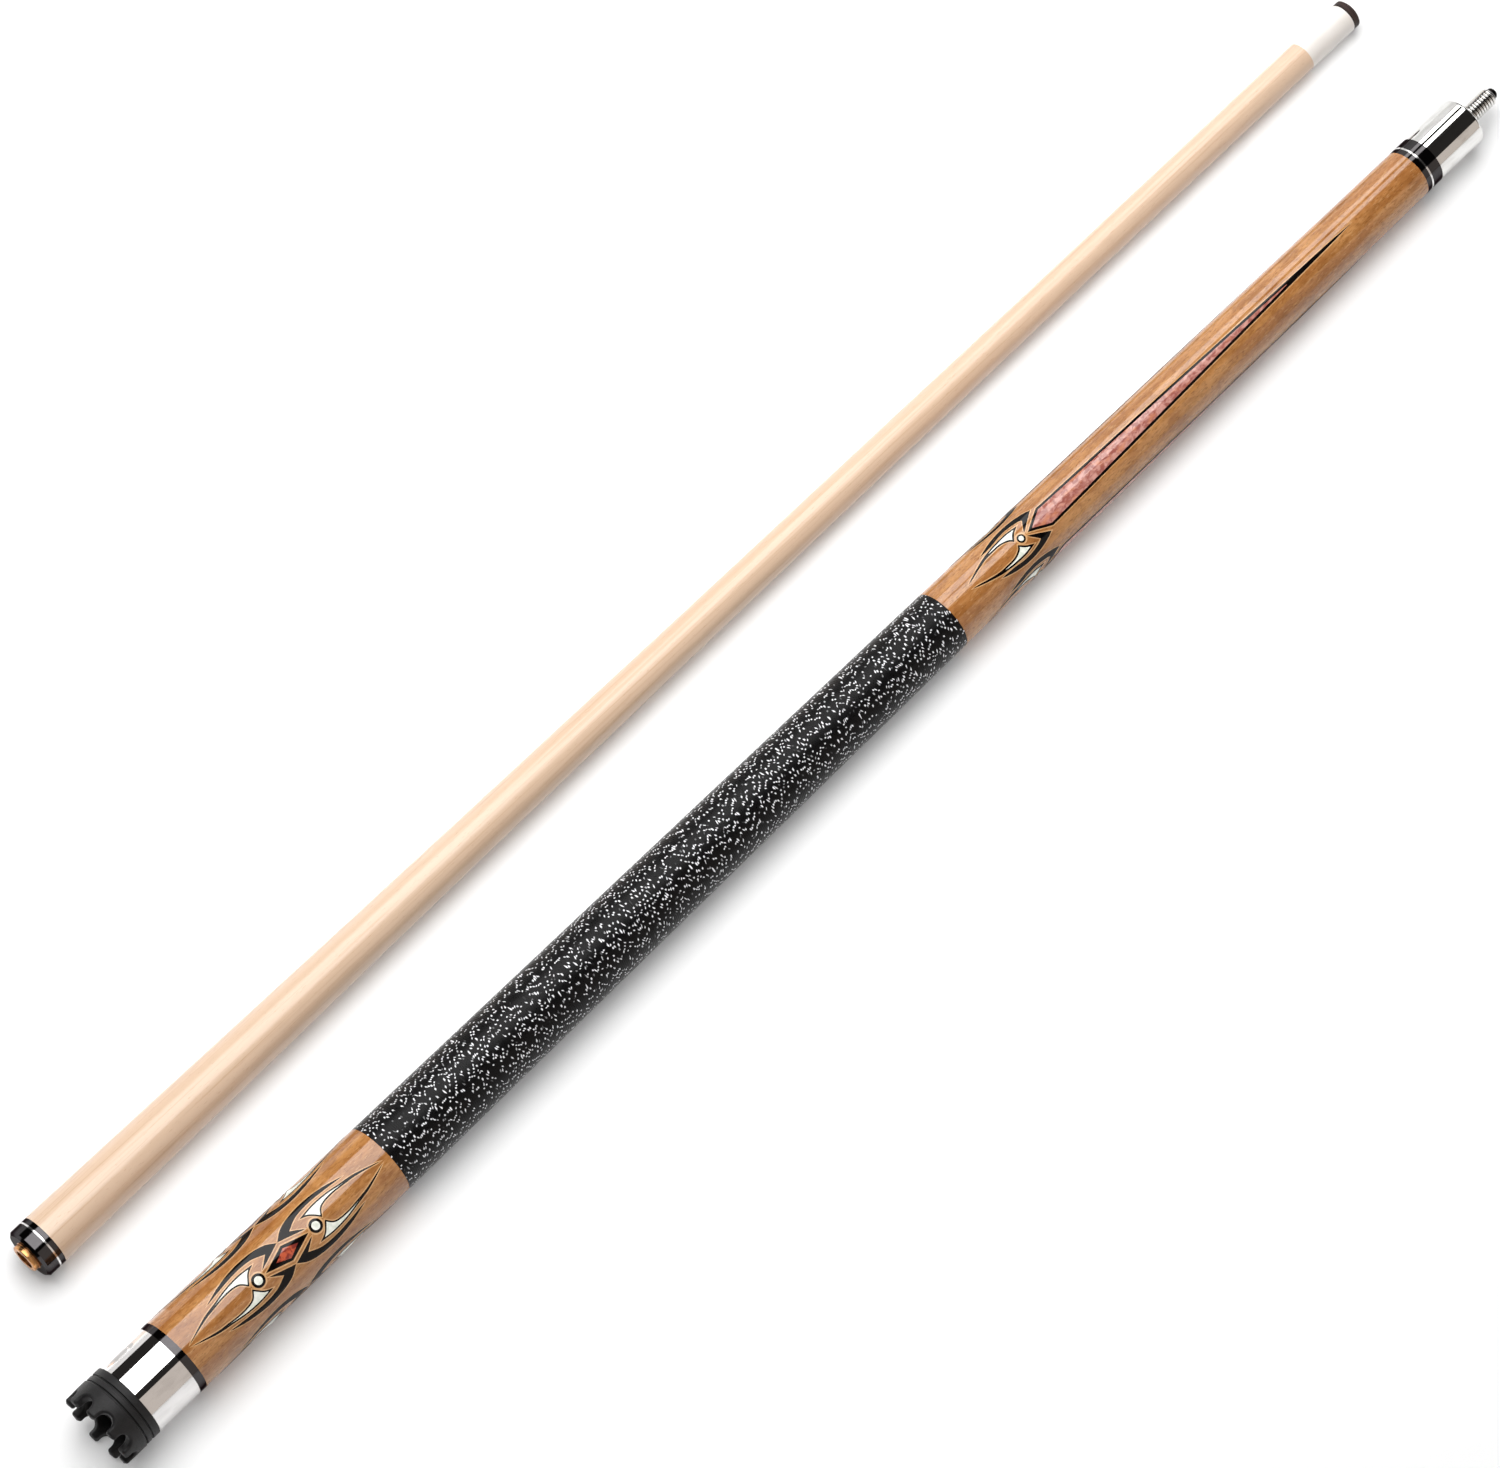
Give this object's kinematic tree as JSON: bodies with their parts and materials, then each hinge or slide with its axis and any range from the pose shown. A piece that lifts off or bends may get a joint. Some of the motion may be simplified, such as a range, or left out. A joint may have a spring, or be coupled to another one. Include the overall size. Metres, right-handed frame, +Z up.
{
  "type": "pool cue",
  "caption": "Two-piece pool cue taken apart: a tapered maple shaft with leather tip beside a decorated wooden butt with threaded joint pin, linen wrap, chrome butt cap and rubber bumper.",
  "frame": {"origin": "middle of the footprint of the two halves as they lie, at floor level", "axes": "+X towards the tip and the joint pin, +Y towards the shaft half, +Z up"},
  "size_m": [0.7754, 0.095, 0.0323],
  "materials": {
    "tip_leather": "napped",
    "ferrule_white": "satin",
    "maple": "satin lacquer",
    "butt_wood": "gloss lacquer",
    "core_wood": "bare",
    "ring_black": "polished",
    "ring_silver": "polished",
    "brass": "machined",
    "pin_steel": "machined",
    "collar_steel": "polished",
    "hidden_steel": "turned",
    "linen_wrap": "pressed linen with white flecks",
    "cap_chrome": "mirror polished",
    "bumper_rubber": "moulded"
  },
  "bodies": {
    "shaft": {"tip": "tip_leather", "ferrule": "ferrule_white", "shaft_wood": "maple", "shaft_ring_narrow": "ring_black", "shaft_ring_silver": "ring_silver", "shaft_collar": "ring_black", "shaft_insert": "brass"},
    "weight": {"weight_bolt": "hidden_steel"},
    "collar": {"joint_collar": "collar_steel"},
    "butt": {"joint_pin": "pin_steel", "joint_ring_wide": "ring_black", "joint_ring_silver": "ring_silver", "joint_ring_narrow": "ring_black", "forearm": "butt_wood", "forearm_stud": "hidden_steel", "handle_core": "core_wood", "wrap": "linen_wrap", "butt_sleeve": "butt_wood", "butt_ring": "ring_black", "butt_cap": "cap_chrome"},
    "bumper": {"bumper": "bumper_rubber"}
  },
  "joints": [
    {"name": "butt_carry", "type": "slide", "parent": "shaft", "child": "weight", "axis": [-0.9982, 0.0593, 0.0023], "range_m": [0, 1.14806]},
    {"name": "thread_advance", "type": "slide", "parent": "weight", "child": "collar", "axis": [1, 0, -0.0065], "range_m": [0, 0.01835]},
    {"name": "thread_spin", "type": "hinge", "parent": "collar", "child": "butt", "pos_m": [0.36894, -0.0314, 0.01128], "axis": [1, 0, -0.0065], "range_deg": [0, 4680]},
    {"name": "bumper_pull", "type": "slide", "parent": "butt", "child": "bumper", "axis": [-1, 0, 0.0065], "range_m": [0, 0.0105]}
  ],
  "couplings": [
    {"joint": "thread_advance", "follows": "thread_spin", "m_per_rad": 0.00022459}
  ]
}
